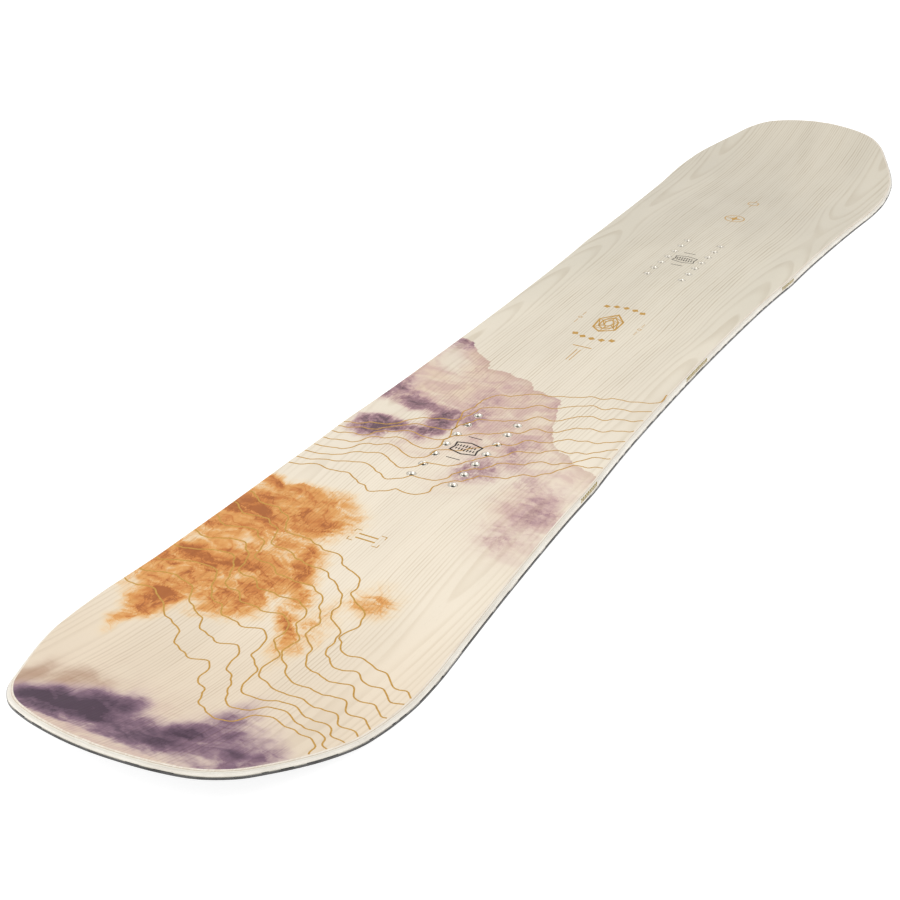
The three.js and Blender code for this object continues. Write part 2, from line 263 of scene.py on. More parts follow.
def loft(rings, bm=None):
    """Closed solid through rings of points with equal counts."""
    bm = bm or bmesh.new()
    rows = [[bm.verts.new(p) for p in ring] for ring in rings]
    for a, b in zip(rows, rows[1:]):
        for i in range(len(a)):
            j = (i + 1) % len(a)
            bm.faces.new((a[i], a[j], b[j], b[i]))
    bm.faces.new(rows[0][::-1])
    bm.faces.new(rows[-1])
    return bm


def side_ring(station, profile, side=1):
    """Points at one station of the left rim (side 1) or the right one; profile lists (inset, level)."""
    ring = []
    for inset, level in profile:
        x, y = rim_point(station, size_at(inset, station[0]))
        ring.append((x, side * y, base_height(x) + size_at(level, x)))
    return ring


def between(start, end, columns):
    """The points strictly between two rim points, which have the same x."""
    a, b = np.array(start), np.array(end)
    return [tuple(a + (b - a) * k / columns) for k in range(1, columns)]


def layer(stations, profile, columns):
    """A layer from rim to rim; its profile runs from the foot of its side to the top."""
    rings = []
    for station in stations:
        left = side_ring(station, profile)
        right = [(x, -y, z) for x, y, z in left[::-1]]
        under = between(right[-1], left[0], columns)
        over = between(left[-1], right[0], columns)
        rings.append([*right, *under, *left, *over])
    return loft(rings)


def rim_strip(stations, side, profile):
    """A strip along one rim; its profile is the whole outline of its section."""
    return loft([side_ring(station, profile, side) for station in stations])


def lathe(rows):
    """Closed solid of revolution about Z; rows hold (radius, z) or functions of the angle giving both."""
    bm = bmesh.new()
    rings = []
    for row in rows[1:-1]:
        ring = []
        for k in range(ROUND_SEGMENTS):
            angle = 2 * math.pi * k / ROUND_SEGMENTS
            radius, z = row(angle) if callable(row) else row
            ring.append(bm.verts.new((radius * math.cos(angle), radius * math.sin(angle), z)))
        rings.append(ring)
    for a, b in zip(rings, rings[1:]):
        for k in range(ROUND_SEGMENTS):
            j = (k + 1) % ROUND_SEGMENTS
            bm.faces.new((a[k], a[j], b[j], b[k]))
    for ring, (_, z) in ((rings[0], rows[0]), (rings[-1], rows[-1])):
        pole = bm.verts.new((0, 0, z))
        for k in range(ROUND_SEGMENTS):
            bm.faces.new((pole, ring[k], ring[(k + 1) % ROUND_SEGMENTS]))
    bmesh.ops.recalc_face_normals(bm, faces=bm.faces)
    return bm


def pack_matrix(side):
    """Frame of a binding seat, leaning with the camber, in millimetres."""
    start, end = PACK_SPAN
    slope = (base_height(start) - base_height(end)) / (end - start)
    place = Vector((side * STANCE / 2, 0, base_height(STANCE / 2)))
    return Matrix.Translation(place) @ Matrix.Rotation(side * math.atan(slope), 4, "Y")


def insert_places():
    """(node name, frame) of every insert."""
    for pack, side in (("nose", 1), ("tail", -1)):
        for row, y in (("left", ROW_Y), ("right", -ROW_Y)):
            for column in range(COLUMNS):
                x = (column - (COLUMNS - 1) / 2) * COLUMN_PITCH
                yield f"insert_{pack}_{row}_{column + 1}", pack_matrix(side) @ Matrix.Translation((x, y, 0))


def drill(piece, rows):
    """Cuts a turned hole through a piece at every insert."""
    drills = bmesh.new()
    for _, place in insert_places():
        bit = lathe(rows)
        bmesh.ops.transform(bit, matrix=place, verts=bit.verts)
        one = as_mesh("bit", bit)
        drills.from_mesh(one)
        bpy.data.meshes.remove(one)
    cutter = add_object("drills", as_mesh("drills", drills, unit=1.0))
    cut = piece.modifiers.new("holes", "BOOLEAN")
    cut.object = cutter
    cut.solver = "EXACT"
    bpy.context.view_layer.update()
    carved = bpy.data.meshes.new_from_object(piece.evaluated_get(bpy.context.evaluated_depsgraph_get()))
    piece.modifiers.clear()
    piece.data = carved
    mark_sharp(carved)
    bpy.data.objects.remove(cutter)


# ---- shader helpers ------------
def colour(red, green, blue):
    """A colour given as it looks on screen, 0 to 255, in the renderer's linear units."""
    linear = [((c / 255 + 0.055) / 1.055) ** 2.4 if c > 10 else c / 255 / 12.92 for c in (red, green, blue)]
    return (*linear, 1.0)


class Tree:
    """Builds a material's nodes; sockets can be given as values, colours or other nodes' outputs."""

    def __init__(self, name):
        self.material = bpy.data.materials.new(name)
        self.material.use_nodes = True
        self.nodes = self.material.node_tree.nodes
        self.links = self.material.node_tree.links
        self.shader = self.nodes["Principled BSDF"]
        place = self.node("ShaderNodeTexCoord").outputs["Object"]
        self.mm = self.vector("SCALE", place, Scale=1 / MM)

    def node(self, kind, props=None, **inputs):
        made = self.nodes.new(kind)
        for key, value in (props or {}).items():
            setattr(made, key, value)
        for key, value in inputs.items():
            self.put(made.inputs[key], value)
        return made

    def put(self, socket, value):
        if isinstance(value, bpy.types.NodeSocket):
            self.links.new(value, socket)
        else:
            socket.default_value = value

    def math(self, operation, *values):
        made = self.node("ShaderNodeMath", {"operation": operation})
        for socket, value in zip(made.inputs, values):
            self.put(socket, value)
        return made.outputs[0]

    def plus(self, a, b):
        return self.math("ADD", a, b)

    def minus(self, a, b):
        return self.math("SUBTRACT", a, b)

    def times(self, a, b):
        return self.math("MULTIPLY", a, b)

    def vector(self, operation, *values, **inputs):
        made = self.node("ShaderNodeVectorMath", {"operation": operation}, **inputs)
        for socket, value in zip(made.inputs, values):
            self.put(socket, value)
        return made.outputs["Value" if operation == "LENGTH" else "Vector"]

    def parts(self, at):
        """The x, y and z of a vector."""
        return self.node("ShaderNodeSeparateXYZ", Vector=at).outputs

    def noise(self, size, detail=2.0, rough=0.5, distort=0.0, at=None, out="Fac"):
        """Noise with features of that size in mm; size may be one number or three."""
        across = size if isinstance(size, tuple) else (size,) * 3
        scaled = self.vector("DIVIDE", at or self.mm, across)
        made = self.node("ShaderNodeTexNoise", Vector=scaled, Scale=1.0, Detail=detail)
        made.inputs["Roughness"].default_value = rough
        made.inputs["Distortion"].default_value = distort
        return made.outputs[out]

    def ramp(self, value, low, high, start=0.0, end=1.0, smooth=True):
        kind = "SMOOTHSTEP" if smooth else "LINEAR"
        made = self.node("ShaderNodeMapRange", {"interpolation_type": kind, "clamp": True}, Value=value)
        for key, number in (("From Min", low), ("From Max", high), ("To Min", start), ("To Max", end)):
            self.put(made.inputs[key], number)
        return made.outputs["Result"]

    def spread(self, value, start, end):
        """The usual range of a noise brought to another range."""
        return self.ramp(value, 0.3, 0.7, start, end)

    def stops(self, value, table):
        """Colour ramp through rows of (position, red, green, blue), which start at 0 and end at 1."""
        made = self.node("ShaderNodeValToRGB", Fac=value)
        band = made.color_ramp.elements
        band[0].color, band[1].color = colour(*table[0][1:]), colour(*table[-1][1:])
        for position, *tint in table[1:-1]:
            band.new(position).color = colour(*tint)
        return made.outputs["Color"]

    def mix(self, share, a, b, blend="MIX"):
        made = self.node("ShaderNodeMix", {"data_type": "RGBA", "blend_type": blend})
        for socket, value in ((made.inputs[0], share), (made.inputs[6], a), (made.inputs[7], b)):
            self.put(socket, value)
        return made.outputs[2]

    def bump(self, height, depth, strength):
        made = self.node("ShaderNodeBump", Height=height, Strength=strength)
        made.inputs["Distance"].default_value = depth * MM
        self.links.new(made.outputs["Normal"], self.shader.inputs["Normal"])

    def finish(self, base, rough, **plain):
        self.put(self.shader.inputs["Base Color"], base)
        self.put(self.shader.inputs["Roughness"], rough)
        for key, value in plain.items():
            self.shader.inputs[key.replace("_", " ")].default_value = value
        return self.material


# ---- the printed stains ------------
# Soft patches of colour as (x, y, half length, half width, turn in degrees, softness, weight).
ORANGE_PATCHES = [
    (-522, 104, 42, 46, 0, 0.5, 0.72), (-532, 60, 32, 40, 0, 0.6, 0.68), (-506, 66, 34, 50, 0, 0.6, 0.6),
    (-474, 72, 36, 58, 0, 0.6, 0.6), (-430, 98, 48, 40, 0, 0.45, 0.74), (-416, 60, 38, 40, 0, 0.6, 0.72),
    (-566, 92, 24, 18, 8, 0.9, 1.0), (-590, 96, 28, 10, -4, 0.95, 0.62), (-388, 112, 24, 8, 44, 0.9, 0.9),
    (-478, 22, 34, 10, 20, 0.9, 0.84), (-530, -4, 44, 10, 14, 0.9, 0.62), (-560, -14, 20, 5, 24, 0.9, 0.9),
    (-546, -26, 40, 12, 4, 0.95, 0.42), (-496, -46, 22, 18, 0, 0.95, 0.46),
]
PURPLE_PATCHES = [
    (-724, 48, 21, 34, 5, 0.75, 1.08), (-714, 26, 26, 28, 0, 0.75, 1.04), (-706, 14, 26, 14, 14, 0.9, 0.94),
    (-738, 0, 16, 64, 0, 0.9, 0.42), (-725, -14, 21, 40, 0, 0.8, 0.88), (-714, -40, 30, 16, -12, 0.8, 0.86),
    (-676, -50, 32, 15, -4, 0.8, 0.6), (-708, -68, 48, 36, 8, 0.6, 0.5), (-706, -80, 16, 13, 0, 0.9, 0.7),
    (-686, -66, 15, 13, 0, 0.9, 0.56), (-702, -95, 24, 18, 20, 0.8, 0.56),
]
BROWN_PATCHES = [(-692, 64, 18, 26, 30, 0.95, 0.36), (-718, 88, 36, 12, 10, 0.9, 0.42)]
BLUSH_PATCHES = [
    (-150, 66, 92, 66, 0, 0.3, 0.8), (-172, 6, 78, 40, 4, 0.4, 0.8), (-204, -36, 76, 30, 4, 0.45, 0.72),
    (-250, -84, 40, 44, 0, 0.6, 0.5), (-268, 40, 28, 54, 0, 0.8, 0.4), (-312, -18, 26, 26, 0, 0.95, 0.36),
    (-330, -92, 70, 34, 10, 0.7, 0.56), (-750, 0, 14, 110, 0, 0.4, 0.5), (-690, 22, 40, 70, 0, 0.95, 0.34),
]
MAUVE_PATCHES = [
    (-258, 97, 21, 18, -12, 0.7, 1.1), (-244, 72, 15, 32, 24, 0.8, 0.76), (-230, 46, 28, 16, 10, 0.9, 0.98),
    (-202, 88, 15, 36, -24, 0.8, 0.7), (-182, 114, 34, 16, 0, 0.7, 0.84), (-190, 26, 48, 18, 0, 0.95, 0.44),
    (-200, 0, 60, 16, 4, 0.95, 0.3), (-284, -20, 22, 18, -20, 0.9, 0.62), (-240, -44, 38, 14, 4, 0.9, 0.44),
    (-146, -32, 26, 14, 0, 0.95, 0.26), (-326, -98, 56, 24, 12, 0.95, 0.34),
    (-366, -92, 26, 22, 0, 0.95, 0.34),
    (-286, -74, 22, 14, 30, 0.95, 0.3), (-70, 102, 18, 20, 0, 0.7, 0.74), (-92, 112, 24, 12, 0, 0.9, 0.34),
    (-128, 26, 18, 30, 0, 0.95, 0.24),
]
PALE_PATCHES = [
    (-226, 74, 13, 15, 0, 0.7, 1.0), (-216, 104, 13, 22, -18, 0.7, 0.9), (-106, 94, 26, 15, 30, 0.9, 0.7),
]
# Where the mauve stops in a torn edge, as (place across the board, place along it).
TORN_EDGE = [
    (-130, -253), (-92, -236), (-66, -216), (-50, -188), (-38, -154), (-32, -133), (-2, -127),
    (14, -110), (54, -106), (70, -88), (88, -74), (98, -60), (130, -46),
]
PRINT_END = -742  # the tail stain stops in a straight line short of the tip
END_LEAK = 0.55  # share of it that runs on past the line
# Colours of a stain from thin to thick, as (density, red, green, blue).
MAUVE_HUES = [
    (0.0, 218, 190, 182), (0.3, 198, 162, 162), (0.6, 164, 128, 136),
    (0.85, 132, 102, 110), (1.0, 108, 82, 92),
]
PURPLE_HUES = [
    (0.0, 212, 188, 182), (0.3, 182, 152, 160), (0.6, 132, 102, 120),
    (0.85, 92, 66, 86), (1.0, 70, 46, 66),
]
ORANGE_HUES = [
    (0.0, 246, 224, 176), (0.26, 237, 194, 134), (0.5, 224, 162, 92),
    (0.75, 206, 130, 66), (1.0, 174, 102, 50),
]
BLUSH_THIN, BLUSH_THICK = colour(224, 198, 174), colour(206, 170, 160)
DRIED_RIM, BROWN = colour(184, 144, 130), colour(172, 134, 108)
FLAT_NOISE = 1.0  # size of a pattern through the thickness of the deck, where it doesn't matter


def patches(tree, at, table):
    """Density of colour from overlapping soft patches."""
    total = None
    for x, y, half_length, half_width, turn, softness, weight in table:
        inner = tree.node("ShaderNodeMapping", {"vector_type": "TEXTURE"}, Vector=at)
        inner.inputs["Location"].default_value = (x, y, 0)
        inner.inputs["Rotation"].default_value = (0, 0, math.radians(turn))
        inner.inputs["Scale"].default_value = (half_length, half_width, 1)
        away = tree.vector("LENGTH", inner.outputs[0])
        one = tree.ramp(away, 1 - softness, 1 + softness, weight, 0.0)
        total = one if total is None else tree.math("MAXIMUM", total, one)
    return total


def tear_distance(tree, at):
    """How far a place lies on the tail side of the torn edge, along the board."""
    x, y, _ = tree.parts(at)
    across, along = np.array(TORN_EDGE, float).T
    curve = tree.node("ShaderNodeFloatCurve", Value=tree.ramp(y, across[0], across[-1], smooth=False))
    line = curve.mapping.curves[0]
    shares = zip((across - across[0]) / np.ptp(across), (along - along[0]) / np.ptp(along))
    for point in list(shares)[1:-1]:
        line.points.new(*point)
    for point in line.points:
        point.handle_type = "VECTOR"
    curve.mapping.update()
    edge = tree.ramp(curve.outputs[0], 0, 1, along[0], along[-1], smooth=False)
    return tree.minus(edge, x)


def flattened(tree):
    """The place on the deck without its height, so that a pattern doesn't change down a hole or a side."""
    return tree.vector("MULTIPLY", tree.mm, (1, 1, 0))


def swing(tree, size, detail, rough, at, reach):
    """A vector that swings either way by up to about reach."""
    centred = tree.vector("SUBTRACT", tree.noise(size, detail, rough, at=at, out="Color"), (0.5, 0.5, 0.5))
    return tree.vector("MULTIPLY", centred, (2 * reach, 2 * reach, 0))


def crease(tree, size, distort, width, at):
    """1 along thin crumpled lines and 0 between them."""
    field = tree.noise(size, 2.0, 0.5, distort, at=at)
    return tree.ramp(tree.math("ABSOLUTE", tree.minus(field, 0.5)), 0.0, width, 1.0, 0.0)


def stained(tree, at, wood):
    """Lays the watercolour stains over the colour of the wood."""
    bleed = tree.ramp(tree.noise((70.0, 1.3, 1.3), at=at), 0.25, 0.75, -2.2, 2.2, smooth=False)
    bleed = tree.node("ShaderNodeCombineXYZ", X=bleed).outputs[0]
    ragged = tree.vector("ADD", at, swing(tree, 26.0, 3.0, 0.46, at, 8.0))
    moved = tree.vector("ADD", tree.vector("ADD", ragged, swing(tree, 70.0, 2.0, 0.5, at, 16.0)), bleed)
    calm = tree.vector("ADD", tree.vector("ADD", at, swing(tree, 44.0, 1.5, 0.4, at, 7.0)), bleed)
    torn = tree.vector("ADD", at, swing(tree, 26.0, 7.0, 0.64, at, 12.0))
    clouds = tree.noise((34.0, 52.0, FLAT_NOISE), 2.0, 0.5, 0.4, at=ragged)
    blotches = tree.noise((15.0, 22.0, FLAT_NOISE), 3.0, 0.55, 0.8, at=ragged)
    grit = tree.noise(5.0, 3.0, 0.6, 0.4, at=at)
    mottle = tree.plus(tree.ramp(clouds, 0.32, 0.68, 0.76, 1.22), tree.spread(blotches, -0.16, 0.16))
    mottle = tree.plus(mottle, tree.spread(grit, -0.04, 0.04))
    tall = tree.ramp(tree.noise((15.0, 54.0, FLAT_NOISE), 2.0, 0.5, 0.6, at=moved), 0.32, 0.68, 0.84, 1.2)
    folds = crease(tree, (36.0, 50.0, FLAT_NOISE), 1.4, 0.02, ragged)
    folds = tree.math("MAXIMUM", folds, crease(tree, 19.0, 0.8, 0.03, moved))
    lights = crease(tree, (34.0, 54.0, FLAT_NOISE), 1.2, 0.06, moved)

    def density(table, where=moved):
        return tree.times(patches(tree, where, table), mottle)

    def marbled(amount, fold, light, speck):
        change = tree.minus(tree.times(folds, fold), tree.times(lights, light))
        change = tree.plus(change, tree.spread(grit, 1.0 - speck, 1.0 + speck))
        return tree.times(amount, change)

    def dyed(under, amount, hues, full):
        return tree.mix(tree.ramp(amount, 0.0, full), under, tree.stops(amount, hues))

    before_tear = tear_distance(tree, torn)
    printed = tree.ramp(before_tear, -0.6, 0.8)
    pale = tree.minus(1.0, patches(tree, moved, PALE_PATCHES))
    blush = tree.times(tree.times(density(BLUSH_PATCHES), printed), pale)
    hue = tree.mix(tree.ramp(blotches, 0.34, 0.66), BLUSH_THIN, BLUSH_THICK)
    wood = tree.mix(tree.ramp(blush, 0.0, 0.9, 0.0, 0.8), wood, hue)
    dried = tree.times(tree.ramp(before_tear, 1.0, 14.0, 0.3, 0.0), tree.times(printed, pale))
    wood = tree.mix(dried, wood, DRIED_RIM)
    wood = tree.mix(tree.ramp(density(BROWN_PATCHES), 0.0, 0.5, 0.0, 0.8), wood, BROWN)

    mauve = tree.times(marbled(tree.times(density(MAUVE_PATCHES), pale), 0.2, 0.34, 0.16), printed)
    wood = dyed(wood, mauve, MAUVE_HUES, 0.6)

    x = tree.parts(at)[0]
    straight = tree.plus(x, tree.spread(tree.noise(9.0, 3.0, at=at), -1.5, 1.5))
    ends = tree.ramp(straight, PRINT_END - 2.0, PRINT_END + 2.0, END_LEAK, 1.0)
    purple = tree.times(marbled(density(PURPLE_PATCHES, calm), 0.08, 0.08, 0.02), ends)
    wood = dyed(wood, purple, PURPLE_HUES, 0.6)

    orange = marbled(tree.times(density(ORANGE_PATCHES), tall), 0.34, 0.3, 0.06)
    return dyed(wood, orange, ORANGE_HUES, 0.5)


# ---- materials ------------
RING_PITCH = 3.4  # growth rings where the grain runs straight
CLOSER_RINGS, CLOSER_WITHIN = 6.0, 80.0  # rings added near the middle line, where the pith was
FIGURE_LINE = 101  # distance of each leaf's figure from the middle line of the book-matched veneer
FIGURE_CREST = 424  # place along the board where the figure's arches turn
FIGURE_DEPTH, FIGURE_SLOPE = 40, 0.036  # depth of the cut in the log at the crest, and its fall from there
FIGURE_ROUND, FIGURE_REACH = 50.0, 420.0  # rounding of the crest, and how far the fall goes on
# The veneer's tone from tail to nose; its darker ends are painted shade.
CREAM_AND_SHADE = [
    (0.0, 230, 213, 190), (0.12, 232, 216, 193), (0.24, 240, 228, 208),
    (0.45, 239, 228, 209), (0.8, 224, 216, 198), (1.0, 217, 209, 192),
]
CREAM_FROM, CREAM_TO = -760.0, 420.0  # darker and warmer at the tail and greyer at the nose: painted shade on the veneer's tone
LATE_WOOD = colour(196, 182, 160)


def growth_rings(tree, at):
    """Ring count across a book-matched flat-sawn veneer: straight in the middle, arched near both rims."""

    def wave(size, detail, reach):
        return tree.ramp(tree.noise(size, detail, at=at), 0.2, 0.8, -reach, reach, smooth=False)

    x, y, _ = tree.parts(at)
    across = tree.plus(y, wave((520.0, 240.0, 240.0), 1.0, 9.0))
    across = tree.plus(across, wave((90.0, 14.0, 14.0), 2.0, 1.2))
    off_axis = tree.minus(tree.math("ABSOLUTE", across), FIGURE_LINE)
    from_crest = tree.minus(x, FIGURE_CREST)
    hill = tree.math("SQRT", tree.plus(tree.math("POWER", from_crest, 2.0), FIGURE_ROUND**2))
    hill = tree.math("MINIMUM", hill, FIGURE_REACH)
    depth = tree.minus(FIGURE_DEPTH, tree.times(hill, FIGURE_SLOPE))
    depth = tree.plus(depth, wave((300.0, 160.0, 160.0), 1.0, 5.0))
    squares = tree.plus(tree.math("POWER", off_axis, 2.0), tree.math("POWER", depth, 2.0))
    count = tree.math("DIVIDE", tree.math("SQRT", squares), RING_PITCH)
    closer = tree.ramp(tree.math("ABSOLUTE", across), 0.0, CLOSER_WITHIN, CLOSER_RINGS, 0.0, smooth=False)
    return tree.plus(count, closer)


def veneer_material():
    tree = Tree("ash_veneer_printed")
    at = flattened(tree)
    rings = growth_rings(tree, at)
    part = tree.math("FRACT", rings)
    late = tree.times(tree.ramp(part, 0.45, 0.84), tree.ramp(part, 0.88, 1.0, 1.0, 0.0))
    each = tree.node("ShaderNodeTexWhiteNoise", {"noise_dimensions": "1D"}, W=tree.math("FLOOR", rings))
    late = tree.times(late, tree.ramp(each.outputs["Value"], 0.0, 1.0, 0.35, 0.95))
    late = tree.times(late, tree.spread(tree.noise((60.0, 20.0, 20.0), 3.0, at=at), 0.5, 1.0))
    x, y, _ = tree.parts(at)
    # The veneer's tone along the board, with painted shade at the tail and the nose.
    cream_and_shade = tree.stops(tree.ramp(x, CREAM_FROM, CREAM_TO, smooth=False), CREAM_AND_SHADE)
    clouds = tree.spread(tree.noise((220.0, 60.0, 60.0), 3.0, at=at), 0.965, 1.03)
    # Painted shade: the left half of the deck (positive y) is made up to 1.4 % darker and the right half
    # lighter.
    clouds = tree.times(clouds, tree.ramp(y, -120.0, 120.0, 1.014, 0.986, smooth=False))
    wood = stained(tree, at, tree.vector("SCALE", cream_and_shade, Scale=clouds))
    pores = tree.noise((9.0, 0.5, 0.5), 2.0, 0.6, at=at)
    pores = tree.times(tree.ramp(pores, 0.58, 0.74), tree.ramp(part, 0.0, 0.6, 1.0, 0.35))
    late = tree.times(late, tree.ramp(x, -400.0, 0.0, 0.5, 0.74))
    off_figure = tree.math("ABSOLUTE", tree.minus(tree.math("ABSOLUTE", y), FIGURE_LINE))
    late = tree.times(late, tree.ramp(off_figure, 6.0, 44.0, 0.5, 1.0))
    grain = tree.plus(late, tree.times(pores, 0.2))
    wood = tree.mix(grain, wood, LATE_WOOD, "MULTIPLY")
    tree.bump(tree.minus(0.0, pores), 0.02, 0.4)
    rough = tree.spread(tree.noise(30.0, 3.0, at=at), 0.44, 0.52)
    return tree.finish(wood, rough, Specular_IOR_Level=0.22)


def plastic_material(name, base, spots, rough, size=3.0, streak=40.0, depth=0.01):
    """A planed or moulded plastic: faint cloudy colour and fine marks along the board."""
    tree = Tree(name)
    clouds = tree.noise(size * 8, 3.0)
    marks = tree.noise((streak, size * 0.12, size * 0.12), 3.0, 0.6)
    share = tree.plus(tree.spread(clouds, 0.0, 0.6), tree.ramp(marks, 0.45, 0.75, 0.0, 0.4))
    shade = tree.mix(share, colour(*base), colour(*spots))
    tree.bump(marks, depth, 0.5)
    return tree.finish(shade, tree.spread(marks, rough - 0.05, rough + 0.07))


def metal_material(name, base, worn, rough, streak):
    """Ground or turned steel: fine marks one way and faint darker tarnish."""
    tree = Tree(name)
    marks = tree.noise(streak, 4.0, 0.7)
    tarnish = tree.ramp(tree.noise(18.0, 4.0, 0.6), 0.4, 0.7)
    shade = tree.mix(tarnish, colour(*base), colour(*worn))
    tree.bump(marks, 0.01, 0.35)
    return tree.finish(shade, tree.spread(marks, rough - 0.06, rough + 0.1), Metallic=1.0)


def insert_material():
    """Bright turned steel whose threaded bore turns dark lower down, as painted shade in the hole."""
    tree = Tree("turned_insert_steel")
    marks = tree.noise((6.0, 6.0, 0.15), 4.0, 0.7)
    away = tree.vector("LENGTH", flattened(tree))
    height = tree.parts(tree.mm)[2]
    # Painted shade: the bore's wall fades to near black from 1.5 mm to 3 mm below the top, where a hole lies
    # in shade.
    shade_by_depth = tree.ramp(height, INSERT_HEIGHT - 3.0, INSERT_HEIGHT - 1.5, 1.0, 0.0)
    inside = tree.times(shade_by_depth, tree.ramp(away, THREAD_MAJOR, THREAD_MAJOR + 0.2, 1.0, 0.0))
    shade = tree.mix(tree.spread(marks, 0.0, 1.0), colour(246, 240, 228), colour(222, 216, 204))
    shade = tree.mix(inside, shade, colour(40, 36, 33))
    tree.bump(marks, 0.01, 0.35)
    return tree.finish(shade, tree.spread(marks, 0.22, 0.36), Metallic=1.0)


def glass_material(name, resin, fibre, tint):
    """Cured laminate where the bevel cuts it: resin with the ends of glass bundles in it."""
    tree = Tree(name)
    bundles = tree.noise((5.0, 5.0, 0.25), 3.0, 0.6)
    clouds = tree.noise(26.0, 2.0)
    shade = tree.mix(tree.ramp(bundles, 0.35, 0.65), colour(*resin), colour(*fibre))
    shade = tree.mix(tree.ramp(clouds, 0.4, 0.7, 0.0, 0.4), shade, colour(*tint))
    tree.bump(bundles, 0.02, 0.4)
    return tree.finish(shade, tree.spread(bundles, 0.42, 0.55))


def timber_material(name, light, dark):
    """Planed core stock with grain along the board."""
    tree = Tree(name)
    fibre = tree.noise((60.0, 1.2, 1.2), 4.0, 0.6)
    figure = tree.noise((200.0, 8.0, 8.0), 3.0, 0.5)
    shade = tree.mix(tree.ramp(fibre, 0.35, 0.7), colour(*light), colour(*dark))
    shade = tree.mix(tree.ramp(figure, 0.4, 0.7, 0.0, 0.35), shade, colour(*dark))
    tree.bump(fibre, 0.03, 0.5)
    return tree.finish(shade, 0.7)


def ink_material(name, base, fleck, rough=0.5):
    """Printed ink with a slightly uneven lay."""
    tree = Tree(name)
    lay = tree.noise(1.6, 3.0, 0.6)
    shade = tree.mix(tree.ramp(lay, 0.35, 0.7), colour(*base), colour(*fleck))
    return tree.finish(shade, tree.spread(lay, rough - 0.06, rough + 0.08))


EDGE_GRIND = (0.4, 0.4, 8.0)  # size of the grinding marks on the steel edge
LOOKS = {
    "veneer": veneer_material(),
    "bare_veneer": timber_material("ash_veneer_cut", (242, 234, 221), (226, 212, 194)),
    "glass": glass_material("glass_laminate_cut", (232, 226, 212), (240, 236, 226), (226, 216, 200)),
    "glue": glass_material("glue_line_cut", (206, 190, 168), (218, 204, 184), (196, 178, 156)),
    "sidewall": plastic_material("abs_sidewall", (238, 233, 222), (216, 209, 196), 0.42),
    "base": plastic_material("sintered_base", (30, 29, 32), (44, 43, 47), 0.46, 4.0, 60.0, 0.02),
    "rubber": plastic_material("damping_rubber", (26, 26, 27), (40, 40, 41), 0.82),
    "mat": plastic_material("woven_insert_mat", (226, 220, 202), (204, 196, 172), 0.6),
    "edge": metal_material("rolled_edge_steel", (236, 234, 230), (214, 212, 208), 0.42, EDGE_GRIND),
    # A darker copy of the edge steel for its outer side: painted shade and dark reflection along the board's
    # foot.
    "shaded_edge": metal_material("edge_steel_painted_shade", (86, 85, 84), (64, 63, 62), 0.34, EDGE_GRIND),
    "insert": insert_material(),
    "light_core": timber_material("core_poplar", (222, 196, 150), (196, 164, 112)),
    "dark_core": timber_material("core_bamboo", (188, 150, 98), (150, 110, 64)),
    "gold": ink_material("gold_print", (202, 155, 64), (182, 135, 50)),
    "dark_gold": ink_material("dark_gold_print", (160, 138, 56), (134, 114, 42)),
    "black": ink_material("black_print", (26, 16, 14), (42, 28, 24), 0.6),
}

# ---- outer layers ------------
BEYOND = 1.0  # how far a drill reaches past what it cuts
COUNTERSINK = 0.35
SOFTENED = 0.05  # depth of the rounding along the veneer's top edge
VENEER_TOP = [(0.12, 0.12), (-0.06, 0.03), (-0.16, 0)]  # that rounding, as (depth along the bevel, depth)
GLUE_LINE = 0.16
FOOT_CHAMFER = (0.08, 0.1)  # in and up, at the foot of a sidewall
SHOULDER = [(-0.04, -0.35), (0.02, -0.1), (0.14, 0.06)]  # rounding under the bevel, in and up from its corner
EDGE_CORNER = 0.15  # rounding of the steel edge, and its gap to the base
EDGE_FOOT = 0.02  # faces lower than this are the edge's underside

core_stations = [station for station in RIM if over_core(station)]
tail_stations = [station for station in RIM if not over_core(station) and station[0] < 0]
nose_stations = [station for station in RIM if not over_core(station) and station[0] > 0]
tail_stations.append((-CORE_END - 2 * BOND, *core_stations[0][1:]))
nose_stations.insert(0, (CORE_END + 2 * BOND, *core_stations[-1][1:]))


def by_shoulder(offset):
    """A level above or below the outer corner of the bevel."""
    return lambda x: thickness(x) - bevel_drop(x) + offset


def on_bevel(depth):
    return bevel_inset(depth), below(depth)


# Sections as rows of (inset from the rim, level over the base's underside). A layer's section is its side,
# from the foot up; that of a sidewall or a steel edge is closed.
VENEER_SECTION = [on_bevel(VENEER), *((bevel_inset(along), below(depth)) for along, depth in VENEER_TOP)]
GLUE_TOP = VENEER + BOND + GLUE_LINE
LAMINATE_SECTION = [on_bevel(CORE_COVER - BOND), on_bevel(GLUE_TOP), on_bevel(VENEER + BOND)]
BASE_SECTION = [(EDGE_WIDTH + EDGE_CORNER, 0), (EDGE_WIDTH + EDGE_CORNER, BASE_TOP)]
SIDE_SECTION = [
    (SIDEWALL_FOOT + FOOT_CHAMFER[0], CORE_BOTTOM),
    (SIDEWALL_FOOT, CORE_BOTTOM + FOOT_CHAMFER[1]),
    *((BEVEL_OUTER + inset, by_shoulder(offset)) for inset, offset in SHOULDER),
    on_bevel(CORE_COVER),
]
SIDEWALL_SECTION = [*SIDE_SECTION, (SIDEWALL_INNER, below(CORE_COVER)), (SIDEWALL_INNER, CORE_BOTTOM)]
STEEL_SECTION = [
    (EDGE_CORNER, 0), (0, EDGE_CORNER),
    (0, EDGE_TOP - EDGE_CORNER), (EDGE_CORNER, EDGE_TOP),
    (TANG_REACH, EDGE_TOP), (TANG_REACH, TANG_BOTTOM),
    (EDGE_WIDTH, TANG_BOTTOM), (EDGE_WIDTH, 0),
]
hole = BARREL_RADIUS + HOLE_CLEARANCE
low, high = CORE_BOTTOM + BEYOND, THICK_MIDDLE + BEYOND
